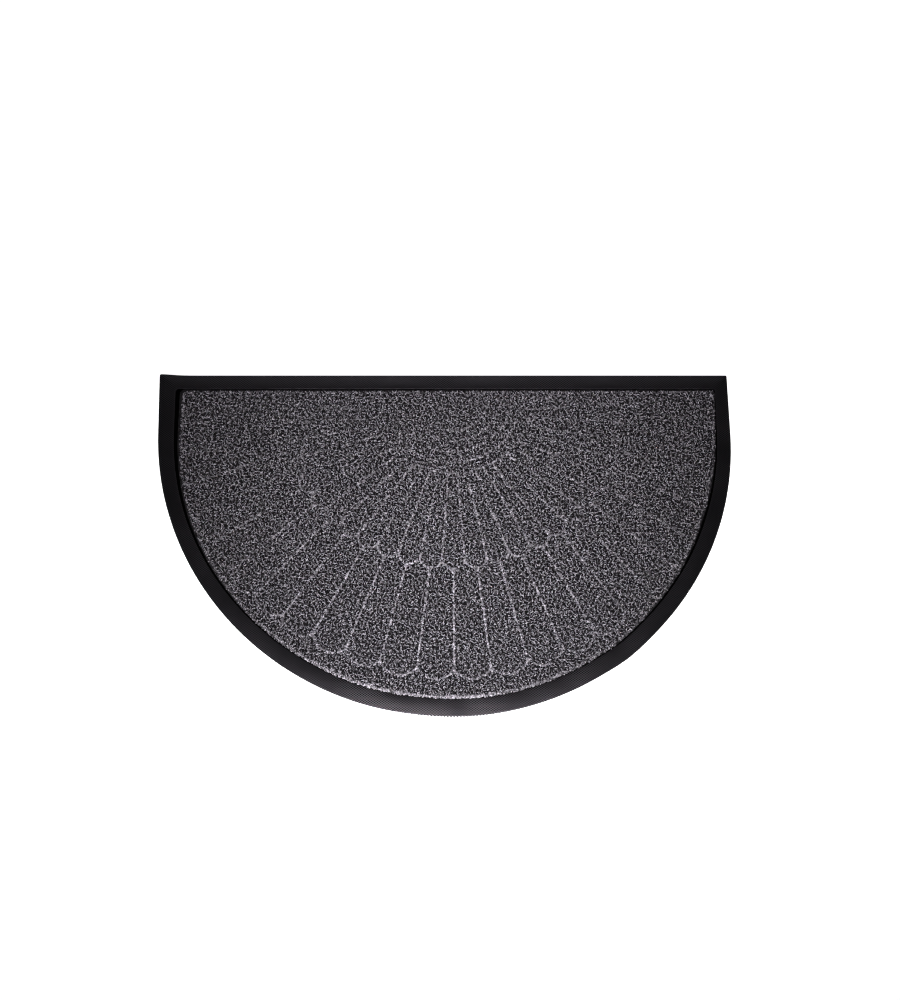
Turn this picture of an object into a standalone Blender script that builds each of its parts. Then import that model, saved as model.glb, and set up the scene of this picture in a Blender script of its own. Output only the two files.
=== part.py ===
"""Half-round doormat: a moulded rubber base with a felted pile face laid in its recess.

Metres, +Z up. X runs along the flat edge, which lies at +Y; the round end lies at -Y.
The origin is under the middle of the mat's outer box, on its flat underside.
"""

import math

import bmesh
import bpy
import numpy as np
from mathutils import Vector
from mathutils.geometry import delaunay_2d_cdt
from mathutils.kdtree import KDTree

# The mat's outline: two short sides, and a round end that leans a little to the right
HALF_WIDTH = 0.37425
DEPTH = 0.4490
SIDE_LENGTH = 0.0810
ROUND_DEPTH = DEPTH - SIDE_LENGTH
FLAT_EDGE_Y = DEPTH / 2
LEAN = 0.0083
SHIFT_ENDS_Y = 0.0300  # where an inner outline's sideways shift has died out
CORNER_RISE = 0.0020  # the left corner of the flat edge is pulled out this far
CORNER_RUN = 0.0220

# Soft bulges and flats of the round end: place on the end, height and spread
UNEVEN_COLUMNS = ("angle_deg", "out", "spread_deg")
UNEVEN = (
    (-52.0, 0.0014, 5.0),
    (-94.0, -0.0012, 9.0),
)

# Points on each stretch of an outline
FLAT_STEPS = 10
CORNER_STEPS = 4
SIDE_STEPS = 3
ROUND_STEPS = 76

# Insets of each outline from the mat's own edge
INSET_COLUMNS = ("left", "right", "flat", "end", "corner_left", "corner_right")
OUTER_EDGE = (0.0, 0.0, 0.0, 0.0, 0.0025, 0.0020)
RECESS_EDGE = (0.0225, 0.0170, 0.0195, 0.0215, 0.0050, 0.0040)
PILE_EDGE = (0.0285, 0.0175, 0.0200, 0.0220, 0.0065, 0.0045)

# The base's section: its border rises from a thin lip to the edge of the recess
RECESS_FLOOR = 0.0025
BORDER_COLUMNS = ("share_of_border", "height")
BORDER_PROFILE = (
    (0.00, 0.0015),
    (0.20, 0.0027),
    (0.45, 0.0035),
    (0.75, 0.0039),
    (1.00, 0.0040),
)

# The pile's section: it stands on the recess floor and is rounded over at its edge
SEAT_GAP = 0.0003
PILE_TOP = 0.0070
SHOULDER_COLUMNS = ("inset", "height")
SHOULDER_PROFILE = (
    (0.0000, 0.0046),
    (0.0008, 0.0059),
    (0.0020, 0.0067),
    (0.0040, PILE_TOP),
)

# The pressed fan: rings round its centre, then two tiers of petals, half a petal apart
FAN_X = 0.0120
FAN_DOWN = 0.0281  # from the flat edge to the fan's centre
FAN_TURN = math.radians(0.3)
PETALS = 26
PETAL_STEP = math.pi / PETALS
FAN_SQUEEZE = 0.928  # the petals are wider at the round end than at the sides
MOST_TURNS = PETALS // 2 + 1  # petals on each side of the middle; the pile's edge cuts the last
HUB_STEP = math.radians(6.3)  # the inner tier's dividers start closer together
RING_FIRST, RING_PITCH, RING_COUNT = 0.0490, 0.01425, 5
HUB_RADIUS = RING_FIRST + RING_PITCH * (RING_COUNT - 1)
INNER_CUSP, INNER_PEAK = 0.2220, 0.2330
OUTER_CUSP, OUTER_PEAK = 0.3620, 0.3745
RING_REACH = math.radians(104)
RING_STEPS = 34
SCALLOP_STEPS = 8
GROOVE_HALF = 0.0015
GROOVE_DEPTH = 0.0012
GROOVE_CLEAR = 0.0065  # from the pile's edge to where a groove runs out
FLAT_ENOUGH = 0.00005
MERGE = 0.00030  # points of the grooves closer than this are one
CROSSING = 0.00001
HALVINGS = 16  # when an outline's crossing with a groove is looked for

SHARP_EDGE = math.radians(35)
RUBBER_COLOUR, RUBBER_ROUGHNESS = (0.012, 0.012, 0.013, 1.0), 0.55
PILE_COLOUR, PILE_ROUGHNESS = (0.085, 0.080, 0.090, 1.0), 0.95


def clear_scene():
    for thing in list(bpy.data.objects):
        bpy.data.objects.remove(thing, do_unlink=True)


def make_material(name, colour, roughness):
    material = bpy.data.materials.new(name)
    material.use_nodes = True
    shader = material.node_tree.nodes["Principled BSDF"]
    shader.inputs["Base Color"].default_value = colour
    shader.inputs["Roughness"].default_value = roughness
    shader.inputs["Metallic"].default_value = 0.0
    return material


def arc_points(centre, radii, start_deg, end_deg, steps):
    """Points of an elliptical arc, both ends included."""
    angles = np.radians(np.linspace(start_deg, end_deg, steps + 1))
    return [(centre[0] + radii[0] * math.cos(a), centre[1] + radii[1] * math.sin(a)) for a in angles]


def named_rows(table, columns):
    """The rows of a short table, each value under its column's name."""
    return [dict(zip(columns, row)) for row in table]


def bulge(x, y):
    """How far an outline point of the round end is pushed out, by its place on the end."""
    angle = math.degrees(math.atan2(y - (FLAT_EDGE_Y - SIDE_LENGTH), x))
    total = 0.0
    for bump in named_rows(UNEVEN, UNEVEN_COLUMNS):
        total += bump["out"] * math.exp(-(((angle - bump["angle_deg"]) / bump["spread_deg"]) ** 2))
    return total


def settle(x, y, half, shift):
    """Moves a point of an even half-round outline to where the uneven mat has it."""
    down = FLAT_EDGE_Y - y
    kept = min(max((y - SHIFT_ENDS_Y) / (FLAT_EDGE_Y - SHIFT_ENDS_Y), 0.0), 1.0)
    corner = math.exp(-(((x + half) / CORNER_RUN) ** 2)) * max(1.0 - down / CORNER_RUN, 0.0)
    push = bulge(x, y)
    length = math.hypot(x, down)
    return (
        x + push * x / length + shift * kept + LEAN * down / DEPTH,
        y - push * down / length + CORNER_RISE * corner,
    )


def half_round(insets, more=0.0):
    """An outline inside the mat's own, counter-clockwise from the right of the flat edge."""
    edge = dict(zip(INSET_COLUMNS, insets))
    half = HALF_WIDTH - (edge["left"] + edge["right"]) / 2 - more
    shift = (edge["left"] - edge["right"]) / 2
    top = FLAT_EDGE_Y - edge["flat"] - more
    spring = FLAT_EDGE_Y - SIDE_LENGTH
    depth = ROUND_DEPTH - edge["end"] - more
    left, right = edge["corner_left"], edge["corner_right"]
    flat = [(x, top) for x in np.linspace(half - right, left - half, FLAT_STEPS + 1)]
    left_corner = arc_points((left - half, top - left), (left, left), 90, 180, CORNER_STEPS)
    left_side = [(-half, y) for y in np.linspace(top - left, spring, SIDE_STEPS + 1)]
    end = arc_points((0.0, spring), (half, depth), 180, 360, ROUND_STEPS)
    right_side = [(half, y) for y in np.linspace(spring, top - right, SIDE_STEPS + 1)]
    right_corner = arc_points((half - right, top - right), (right, right), 0, 90, CORNER_STEPS)
    stretches = (flat, left_corner, left_side, end, right_side, right_corner)
    even = [point for stretch in stretches for point in stretch[:-1]]
    return np.array([settle(x, y, half, shift) for x, y in even])


def box_middle(points):
    return (points.min(axis=0) + points.max(axis=0)) / 2


OUTER = half_round(OUTER_EDGE)
MIDDLE = box_middle(OUTER)


def placed(insets, more=0.0):
    """An outline with the origin under the middle of the mat's box."""
    return half_round(insets, more) - MIDDLE


def at_height(points, height):
    return [(x, y, height) for x, y in points]


def add_loft(bm, rings):
    """Joins closed rings of equal length with quads, and returns their vertices."""
    rows = [[bm.verts.new(point) for point in ring] for ring in rings]
    for lower, upper in zip(rows, rows[1:]):
        for i, corner in enumerate(lower):
            nxt = (i + 1) % len(lower)
            bm.faces.new((corner, lower[nxt], upper[nxt], upper[i]))
    return rows


def finish_object(name, bm, material):
    bmesh.ops.recalc_face_normals(bm, faces=bm.faces)
    mesh = bpy.data.meshes.new(name)
    bm.to_mesh(mesh)
    bm.free()
    mesh.materials.append(material)
    mesh.shade_smooth()
    mesh.set_sharp_from_angle(angle=SHARP_EDGE)
    solid = bpy.data.objects.new(name, mesh)
    bpy.context.collection.objects.link(solid)
    return solid


def make_rubber_base():
    """The moulded tray: flat underside, thin outer lip, convex border and a shallow recess."""
    outer, recess = placed(OUTER_EDGE), placed(RECESS_EDGE)
    rings = [at_height(outer, 0.0)]
    for step in named_rows(BORDER_PROFILE, BORDER_COLUMNS):
        rings.append(at_height(outer + (recess - outer) * step["share_of_border"], step["height"]))
    rings.append(at_height(recess, RECESS_FLOOR))
    bm = bmesh.new()
    rows = add_loft(bm, rings)
    bm.faces.new(list(reversed(rows[0])))
    bm.faces.new(rows[-1])
    rubber = make_material("moulded_rubber", RUBBER_COLOUR, RUBBER_ROUGHNESS)
    return finish_object("rubber_base", bm, rubber)


def fan_point(radius, angle):
    """A point of the fan, with angles from straight down its middle."""
    turned = angle + FAN_TURN
    x = FAN_X + radius * math.sin(turned)
    y = FLAT_EDGE_Y - FAN_DOWN - radius * math.cos(turned)
    return Vector((x - MIDDLE[0], y - MIDDLE[1]))


def petal_angle(turns):
    """The angle, from straight down the fan's middle, that a number of petals reaches."""
    even = turns * PETAL_STEP
    return math.atan2(math.sin(even) / FAN_SQUEEZE, math.cos(even))


def scallop(start, peak, end):
    """The circular arc through a petal's two cusps and the peak between them."""
    chord = end - start
    middle = (start + end) / 2
    rise = (peak - middle).length
    radius = ((chord.length / 2) ** 2 + rise**2) / (2 * rise)
    centre = peak + (middle - peak).normalized() * radius
    first, last = start - centre, end - centre
    sweep = first.angle_signed(last)
    return [centre + rotated(first, -sweep * i / SCALLOP_STEPS) for i in range(SCALLOP_STEPS + 1)]


def rotated(vector, angle):
    cos, sin = math.cos(angle), math.sin(angle)
    return Vector((vector.x * cos - vector.y * sin, vector.x * sin + vector.y * cos))


def petal_tier(cusp, peak, offset):
    """The scallops of one tier: its petals are centred on whole steps, plus the offset."""
    lines = []
    for n in range(-MOST_TURNS, MOST_TURNS + 1):
        start = fan_point(cusp, petal_angle(n + offset - 0.5))
        end = fan_point(cusp, petal_angle(n + offset + 0.5))
        lines.append(scallop(start, fan_point(peak, petal_angle(n + offset)), end))
    return lines


def fan_lines():
    """The centre lines of every pressed groove, as lists of points."""
    lines = []
    for ring in range(RING_COUNT):
        radius = RING_FIRST + RING_PITCH * ring
        angles = np.linspace(-RING_REACH, RING_REACH, RING_STEPS + 1)
        lines.append([fan_point(radius, a) for a in angles])
    for n in range(-MOST_TURNS, MOST_TURNS):
        half = n + 0.5
        lines.append([fan_point(HUB_RADIUS, half * HUB_STEP), fan_point(INNER_CUSP, petal_angle(half))])
    for n in range(-MOST_TURNS, MOST_TURNS + 1):
        whole = petal_angle(n)
        lines.append([fan_point(INNER_PEAK, whole), fan_point(OUTER_CUSP, whole)])
    return lines + petal_tier(INNER_CUSP, INNER_PEAK, 0.0) + petal_tier(OUTER_CUSP, OUTER_PEAK, 0.5)


def is_inside(point, outline):
    """Even-odd test of a point against a closed outline."""
    inside = False
    for a, b in zip(outline, np.roll(outline, -1, axis=0)):
        if (a[1] > point.y) != (b[1] > point.y):
            if point.x < a[0] + (point.y - a[1]) * (b[0] - a[0]) / (b[1] - a[1]):
                inside = not inside
    return inside


def last_inside(kept, lost, outline):
    """Where the way from a point inside the outline to one outside it leaves the outline."""
    for _ in range(HALVINGS):
        halfway = (kept + lost) / 2
        if is_inside(halfway, outline):
            kept = halfway
        else:
            lost = halfway
    return kept


def clipped(line, outline):
    """The stretches of a line that lie inside the outline."""
    runs, run = [], []
    states = [is_inside(point, outline) for point in line]
    for i, point in enumerate(line):
        if states[i]:
            if not run and i > 0:
                run.append(last_inside(point, line[i - 1], outline))
            run.append(point)
        elif run:
            run.append(last_inside(line[i - 1], point, outline))
            runs.append(run)
            run = []
    if run:
        runs.append(run)
    return [r for r in runs if (r[-1] - r[0]).length > GROOVE_HALF * 2]


def groove_rim(line):
    """The closed rim round a groove's centre line, with a pointed tip past each end."""
    left, right = [], []
    for i, point in enumerate(line):
        before = (point - line[i - 1]).normalized() if i > 0 else None
        after = (line[i + 1] - point).normalized() if i + 1 < len(line) else None
        along = ((before or after) + (after or before)).normalized()
        side = Vector((-along.y, along.x)) * GROOVE_HALF
        left.append(point + side)
        right.append(point - side)
    first = line[0] - (line[1] - line[0]).normalized() * GROOVE_HALF
    last = line[-1] + (line[-1] - line[-2]).normalized() * GROOVE_HALF
    return [first] + left + [last] + right[::-1]


def distance_to_lines(points, lines):
    """The distance from each point to the nearest centre line."""
    starts = np.array([line[i] for line in lines for i in range(len(line) - 1)])
    ends = np.array([line[i + 1] for line in lines for i in range(len(line) - 1)])
    along = ends - starts
    length_squared = (along**2).sum(axis=1)
    nearest = np.empty(len(points))
    for i, point in enumerate(points):
        offset = point - starts
        share = np.clip((offset * along).sum(axis=1) / length_squared, 0.0, 1.0)
        gap = offset - along * share[:, None]
        nearest[i] = math.sqrt((gap**2).sum(axis=1).min())
    return nearest


def merged(points, joins):
    """The same lines with points that fall together made one."""
    tree = KDTree(len(points))
    for i, point in enumerate(points):
        tree.insert((point.x, point.y, 0.0), i)
    tree.balance()
    first = [min(n for _, n, _ in tree.find_range((p.x, p.y, 0.0), MERGE)) for p in points]
    kept = sorted(set(first))
    place = {old: new for new, old in enumerate(kept)}
    ends = {tuple(sorted((place[first[a]], place[first[b]]))) for a, b in joins}
    return [points[i] for i in kept], sorted((a, b) for a, b in ends if a != b)


def pressed_top(edge):
    """Triangles of the pile's top inside its shoulder, with the fan pressed into it."""
    region = placed(PILE_EDGE, GROOVE_CLEAR)
    lines = [run for line in fan_lines() for run in clipped(line, region)]
    points = [Vector(point) for point in edge]
    joins = [(i, (i + 1) % len(edge)) for i in range(len(edge))]
    for line in lines:
        first = len(points)
        points += line
        joins += [(first + i, first + i + 1) for i in range(len(line) - 1)]
        rim, first = groove_rim(line), len(points)
        points += rim
        joins += [(first + i, first + (i + 1) % len(rim)) for i in range(len(rim))]
    points, joins = merged(points, joins)
    inside_constraints = 1
    verts, _, faces, origins, _, _ = delaunay_2d_cdt(points, joins, [], inside_constraints, CROSSING)
    flat = np.array([(v.x, v.y) for v in verts])
    depth = GROOVE_DEPTH * np.clip(1 - distance_to_lines(flat, lines) / GROOVE_HALF, 0.0, 1.0)
    depth[depth < FLAT_ENOUGH] = 0.0
    return flat, PILE_TOP - depth, faces, origins


def make_pile_face():
    """The felted face: straight cut wall, rounded shoulder and a top with the pressed fan."""
    rings = [at_height(placed(PILE_EDGE), RECESS_FLOOR + SEAT_GAP)]
    for step in named_rows(SHOULDER_PROFILE, SHOULDER_COLUMNS):
        rings.append(at_height(placed(PILE_EDGE, step["inset"]), step["height"]))
    bm = bmesh.new()
    rows = add_loft(bm, rings)
    bm.faces.new(list(reversed(rows[0])))
    edge = rows[-1]
    flat, heights, faces, origins = pressed_top([v.co.xy for v in edge])
    top = []
    for (x, y), height, came_from in zip(flat, heights, origins):
        on_edge = [i for i in came_from if i < len(edge)]
        top.append(edge[on_edge[0]] if on_edge else bm.verts.new((x, y, height)))
    for face in faces:
        bm.faces.new([top[i] for i in face])
    felt = make_material("felted_pile", PILE_COLOUR, PILE_ROUGHNESS)
    return finish_object("pile_face", bm, felt)


clear_scene()
make_rubber_base()
make_pile_face()
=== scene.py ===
"""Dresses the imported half-round doormat: a moulded rubber tray and a curled pile with a pressed fan.

Metres, +Z up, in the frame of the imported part: X runs along the flat edge, which lies at +Y,
and the origin is under the middle of the mat. The outline and the fan repeat the part's own sizes.
"""

import math

import bmesh
import bpy
import numpy as np
from bpy.props import FloatProperty, FloatVectorProperty, IntProperty, PointerProperty
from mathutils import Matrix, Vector, noise
from mathutils.kdtree import KDTree


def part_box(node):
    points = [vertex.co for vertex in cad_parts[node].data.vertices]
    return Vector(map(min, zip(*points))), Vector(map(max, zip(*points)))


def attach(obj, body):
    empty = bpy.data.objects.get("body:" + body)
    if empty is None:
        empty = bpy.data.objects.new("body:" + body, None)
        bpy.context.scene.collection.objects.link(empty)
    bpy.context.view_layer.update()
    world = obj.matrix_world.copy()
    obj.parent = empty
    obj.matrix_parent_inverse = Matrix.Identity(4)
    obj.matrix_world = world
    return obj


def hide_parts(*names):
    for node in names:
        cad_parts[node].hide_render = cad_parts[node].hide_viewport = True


bl_info = {
    "name": "Half-round rubber doormat",
    "version": (1, 0, 0),
    "blender": (4, 5, 0),
    "location": "3D View > Sidebar > Doormat",
    "description": "Models the rubber tray, the curled pile and its pressed fan, in a pale studio",
    "category": "Object",
}

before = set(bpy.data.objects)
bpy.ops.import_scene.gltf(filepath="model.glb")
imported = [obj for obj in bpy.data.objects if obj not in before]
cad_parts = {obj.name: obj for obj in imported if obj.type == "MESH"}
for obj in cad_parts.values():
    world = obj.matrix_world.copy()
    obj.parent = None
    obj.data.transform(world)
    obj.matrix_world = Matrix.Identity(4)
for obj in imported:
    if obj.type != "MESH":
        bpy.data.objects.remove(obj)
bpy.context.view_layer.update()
MM = 0.001

# The mat's outline, as the part has it
HALF_WIDTH = 0.37425
DEPTH = 0.4490
SIDE_LENGTH = 0.0810
FLAT_EDGE_Y = DEPTH / 2
SPRING_Y = FLAT_EDGE_Y - SIDE_LENGTH
ROUND_DEPTH = DEPTH - SIDE_LENGTH
LEAN = 0.0083
SHIFT_ENDS_Y = 0.0300
CORNER_RISE = 0.0020
CORNER_RUN = 0.0220
UNEVEN_COLUMNS = ("angle_deg", "out", "spread_deg")
UNEVEN = (
    (-52.0, 0.0014, 5.0),
    (-94.0, -0.0012, 9.0),
)
INSET_COLUMNS = ("left", "right", "flat", "end", "corner_left", "corner_right")
OUTER_EDGE = (0.0, 0.0, 0.0, 0.0, 0.0025, 0.0020)
RECESS_EDGE = (0.0225, 0.0170, 0.0195, 0.0215, 0.0050, 0.0040)
PILE_EDGE = (0.0285, 0.0175, 0.0200, 0.0220, 0.0065, 0.0045)
CURL_EDGE = (0.0312, 0.0176, 0.0212, 0.0220, 0.0065, 0.0045)  # where the curls stop, fitted to the photo

# How many steps each stretch of an outline has: the part's own, and the scene's finer ones
STEP_COLUMNS = ("flat", "corner", "side", "round")
PART_STEPS = (10, 4, 3, 76)
FINE_STEPS = (150, 8, 18, 1120)
WALK_STEPS = (400, 8, 60, 1000)

# The fan: rings round its centre, then two tiers of petals, half a petal apart
FAN_X = 0.0120
FAN_DOWN = 0.0281
FAN_TURN = math.radians(0.3)
PETALS = 26
PETAL_STEP = math.pi / PETALS
FAN_SQUEEZE = 0.928
MOST_TURNS = PETALS // 2 + 1
HUB_STEP = math.radians(6.3)
RING_FIRST, RING_PITCH, RING_COUNT = 0.0490, 0.01425, 5
HUB_RADIUS = RING_FIRST + RING_PITCH * (RING_COUNT - 1)
INNER_CUSP, INNER_PEAK = 0.2220, 0.2330
OUTER_CUSP, OUTER_PEAK = 0.3620, 0.3745
RING_REACH = math.radians(104)
GROOVE_CLEAR = 0.0065
GROOVE_STEP = 0.5 * MM
RING_POINTS, SCALLOP_POINTS = 121, 25
INNER_CORNER, MIDDLE_CORNER, OUTER_CORNER = 2 * MM, 2 * MM, 2.5 * MM  # past the cusp, peak and cusp
STROKE_ASIDE, STROKE_HALF = 1.3 * MM, 3.2 * MM

# How firmly the press came down, and how strong the painted sheen on the pressed lines is, by radius on the
# fan: at the middle, and how both fade to the sides
PRESS_AND_SHEEN_COLUMNS = ("radius", "middle", "spread_deg", "turned_deg")
PRESS_AND_SHEEN = (
    (0.049, 0.36, 58.0, 24.0),
    (0.106, 0.43, 62.0, 16.0),
    (0.120, 0.52, 80.0, 0.0),
    (0.212, 0.56, 74.0, 0.0),
    (0.224, 0.63, 58.0, -1.0),
    (0.233, 0.60, 54.0, -2.0),
    (0.242, 0.84, 54.0, -4.0),
    (0.356, 0.88, 50.0, -5.0),
    (0.366, 0.72, 42.0, -7.0),
)

# The tray's section, from the underside round the lip, over the border and into the recess.
# share runs from the outer edge to the recess; inset is added to it, inwards.
TRAY_COLUMNS = ("share", "inset", "height")
TRAY_SECTION = (
    (0.000, 0.00035, 0.00000),
    (0.000, 0.00005, 0.00025),
    (0.000, 0.00000, 0.00090),
    (0.000, 0.00015, 0.00130),
    (0.000, 0.00060, 0.00156),
    (0.060, 0.00000, 0.00178),
    (0.120, 0.00000, 0.00201),
    (0.165, 0.00000, 0.00219),
    (0.182, 0.00000, 0.00223),
    (0.196, 0.00000, 0.00227),
    (0.215, 0.00000, 0.00236),
    (0.280, 0.00000, 0.00261),
    (0.360, 0.00000, 0.00289),
    (0.450, 0.00000, 0.00317),
    (0.560, 0.00000, 0.00346),
    (0.680, 0.00000, 0.00371),
    (0.800, 0.00000, 0.00389),
    (0.910, 0.00000, 0.00399),
    (0.970, 0.00000, 0.00396),
    (0.993, 0.00000, 0.00372),
    (1.000, 0.00000, 0.00330),
    (1.000, 0.00000, 0.00270),
    (1.000, 0.00030, 0.00250),
)
# The recess rings also get painted shade: the rubber's colour turns near black there
RECESS_RINGS = 3  # the section's last rings, which the pressing left dull
FIBRE_NAME = "crimped_polypropylene_fibre"

# One curl of fibre, in shares of its length, width and height: its path's stations and their lean
CURL_SIDES = 3
CURL_COLUMNS = ("along", "up", "lean_deg")
CURL_STATIONS = (
    (-0.50, -0.10, 50.0),
    (0.00, 0.60, 0.0),
    (0.50, -0.10, -50.0),
)
CURL_THICK = (0.16, 0.40)  # of its length and of its height
CAP_LEFTS, CAP_WIDTH, CAP_LOW, CAP_HIGH = (0.10, 0.60), 0.3, 0.86, 0.96  # a curl's ends on its map
WRAP_LEFT, WRAP_WIDTH, WRAP_LOW, WRAP_HEIGHT = 0.06, 0.88, 0.05, 0.73  # and its sides

# The pile's curls: their scatter, and what the edge and the pressed lines do to them.
# Levels are sRGB levels from 0 to 255.
CARD_LEVELS = (14.0, 102.0, 157.0, 214.0)  # the four fibres in the mix
CARD_SPREAD = 22.0
CURL_NAMES = ("black", "charcoal", "grey", "silver")
CURL_SCATTER = 0.30  # share of the pitch
CURL_INSET = 1.6 * MM
CURL_STRETCH = (0.75, 1.2)
CURL_RISE = (0.70, 1.12)
CURL_TOP = 0.92  # a curl's rise is divided by this
CURL_TILT = 0.16
SHOULDER, SHOULDER_DROP = 4.0 * MM, 0.9 * MM
PRESS_HALF_WIDTH, PRESS_FLATTENS, PRESS_SINKS = 2.2 * MM, 0.45, 0.5 * MM
# Painted sheen along the pressed lines and at the corners where they meet
LINE_PAINTED_SHEEN, LINE_HALF_WIDTH = 40.0, 1.5 * MM
# Painted shade of the groove walls, a little way beside the pressed lines
BESIDE_PAINTED_SHADE, BESIDE_AT, BESIDE_HALF_WIDTH = 20.0, 3.6 * MM, 1.4 * MM
CORNER_PAINTED_SHEEN, CORNER_HALF_WIDTH = 70.0, 3.0 * MM

# The flattened curls along the pressed lines; their sizes are in millimetres
LINE_PITCH = 1.7 * MM
LEAST_FIRM = 0.10
CLEAR_PATCH = 11 * MM
KEPT_UNCLEAR, KEPT_SOFT = 0.68, 0.35
LINE_SCATTER = 0.44 * MM
# The lines' curls get painted sheen from how firmly they are pressed, more in clear patches
LINE_LEVEL, LINE_FIRM_SHEEN, LINE_CLEAR_SHEEN, LINE_SPREAD = 98, 72, 44, 45.0
LINE_SINK = 0.15 * MM
LINE_TURN, LINE_TILT = 0.85, 0.08
LINE_SIZES = ((2.0, 3.0), (1.9, 2.8), (1.1, 1.7))

# The rows of curls over the cut edge: lit is painted light at the front and shaded is painted shade at the
# back, both in sRGB levels
RIM_COLUMNS = ("inset", "height", "tip_deg", "lit", "shaded")
RIM_ROWS = (
    (0.0005, 0.00415, 62.0, 128.0, 20.0),
    (0.0016, 0.00510, 34.0, 122.0, 8.0),
    (0.0030, 0.00550, 10.0, 66.0, 0.0),
)
# Painted light: the cut edge's curls are palest where they face this way, towards the front light
LIT_SIDE = (-0.16, -0.987)  # the way that the cut edge faces where its curls are palest
LIT_POWER = 6
RIM_PITCH = 1.35 * MM
RIM_BACK = 0.7 * MM
RIM_SCATTER, RIM_RISE = 0.46 * MM, 0.15 * MM
RIM_TURN, RIM_TILT = 0.45, 0.15
RIM_LEVEL, RIM_SPREAD = 84, 52.0
RIM_SIZES = ((2.1, 3.0), (1.3, 2.1), (0.7, 1.0))
RIM_KINDS = 2  # the first two kinds of curl only

# Each kind of curl bends sideways in its own way, in shares of its width at its stations
CURL_KINDS = (
    (0.0, 0.0, 0.0),
    (-0.6, 0.4, -0.6),
    (-0.3, -0.2, 0.9),
)

# The finishes' grain, and where along Y the imprint is full and faint
WEAR_PATCH, RUBBER_GRAIN = 45 * MM, 0.9 * MM
FELT_TANGLE, FELT_RELIEF = 1.1 * MM, 0.5 * MM
STRAND, STRAND_RELIEF = 0.45 * MM, 0.15 * MM
IMPRINT_FULL_Y, IMPRINT_FAINT_Y, IMPRINT_FAINT = -0.205, -0.150, 0.3

# The fine teeth of the trimmed lip, along X
TEETH_X, TEETH_SPREAD = 0.010, 0.055

# The studio: each light's place, what it aims at and its size, then the floor and the camera
FRONT_PLACE, FRONT_AIM, FRONT_SIZE = (-0.05, -1.35, 1.15), (0.01, -0.10, 0.0), (0.45, 0.5)
HIGH_PLACE, HIGH_AIM, HIGH_SIZE = (0.0, -0.20, 2.30), (0.0, 0.0, 0.0), (0.8, 0.8)
BACK_PLACE, BACK_AIM, BACK_SIZE = (0.0, 1.50, 1.40), (0.0, 0.0, 0.0), (0.9, 0.5)
FLOOR_SIZE, FLOOR_DROP = 40.0, 0.2 * MM
BACKDROP_RISE = 0.38
CAMERA_TILT = math.radians(12.2)
CAMERA_DISTANCE = 1.785
CAMERA_AIM = (-0.00075, -0.0020, 0.0)
CAMERA_SENSOR_MM, CAMERA_LENS_MM = 36.0, 49.95
CAMERA_SHIFT = (0.0069, 0.0423)
CAMERA_NEAR = 0.05


def linear(hexes):
    """A colour's sRGB hex as linear red, green, blue and alpha."""
    shares = [int(hexes[i : i + 2], 16) / 255 for i in (0, 2, 4)]
    return tuple(s / 12.92 if s <= 0.04045 else ((s + 0.055) / 1.055) ** 2.4 for s in shares) + (1.0,)


def length_property(name, description, default):
    return FloatProperty(
        name=name,
        description=description,
        default=default,
        min=0.0,
        precision=5,
        unit="LENGTH",
        subtype="DISTANCE",
    )


def colour_property(name, description, hexes):
    return FloatVectorProperty(
        name=name, description=description, default=linear(hexes), min=0.0, max=1.0, size=4, subtype="COLOR"
    )


def share_property(name, description, default):
    return FloatProperty(
        name=name, description=description, default=default, min=0.0, max=1.0, subtype="FACTOR"
    )


def strength_property(name, description, default):
    return FloatProperty(name=name, description=description, default=default, min=0.0)


def power_property(name, description, default):
    return FloatProperty(name=name, description=description, default=default, unit="POWER")


class TraySettings(bpy.types.PropertyGroup):
    """Sizes and finish of the rubber tray."""

    rubber: colour_property("Rubber", "Colour of the moulded rubber", "070708")
    bloom: colour_property("Bloom", "Pale haze on the rubber's raised grain", "0F0F11")
    gloss_roughness: share_property("Roughness", "Roughness of the moulded rubber", 0.41)
    imprint_across: length_property("Imprint across", "Imprint's pitch along the flat edge", 3.9 * MM)
    imprint_down: length_property("Imprint down", "Imprint's pitch away from that edge", 2.9 * MM)
    imprint_depth: length_property("Imprint depth", "Depth of the cloth imprint", 0.16 * MM)
    tooth_pitch: length_property("Tooth pitch", "Distance between the trimmed lip's fine teeth", 4.1 * MM)
    tooth_reach: length_property("Tooth reach", "How far the trimmed lip's fine teeth stand out", 1.3 * MM)


class PileSettings(bpy.types.PropertyGroup):
    """Sizes and fibre colours of the pile."""

    top: length_property("Pile top", "Height of the pile over the floor", 7.0 * MM)
    ground: length_property("Pile ground", "Height of the felted ground over the floor", 5.7 * MM)
    pitch: length_property("Curl pitch", "Distance between neighbouring curls", 2.19 * MM)
    length: length_property("Curl length", "Length of one curl of fibre", 2.5 * MM)
    width: length_property("Curl width", "Width of one curl of fibre", 1.1 * MM)
    seed: IntProperty(name="Seed", description="Seed of the scattered curls", default=7, min=0)
    dark: colour_property("Dark fibre", "Colour of the darkest fibre in the mix", "0B0A0C")
    pale: colour_property("Pale fibre", "Colour of the palest fibre in the mix", "F5EEFA")
    felt: colour_property("Felt", "Colour of the felted ground between the curls", "0D0C0E")


class StudioSettings(bpy.types.PropertyGroup):
    """Light and floor of the studio."""

    front_watts: power_property("Front light", "Power of the gridded front light", 3.02)
    front_spread: FloatProperty(
        name="Front spread",
        description="Angle that the front light's grid lets out",
        default=math.radians(38),
        subtype="ANGLE",
    )
    high_watts: power_property("High light", "Power of the light above", 0.7)
    back_watts: power_property("Back light", "Power of the light behind", 2.9)
    sky: strength_property("Sky", "Strength of the even light from above", 0.030)
    backdrop: strength_property("Backdrop", "Strength of the lit backdrop at the floor", 0.6)
    floor: colour_property("Floor", "Colour of the pale floor", "F7F7F7")
    floor_glow: strength_property("Floor glow", "Light given off by the lit white sweep", 1.0)


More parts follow.
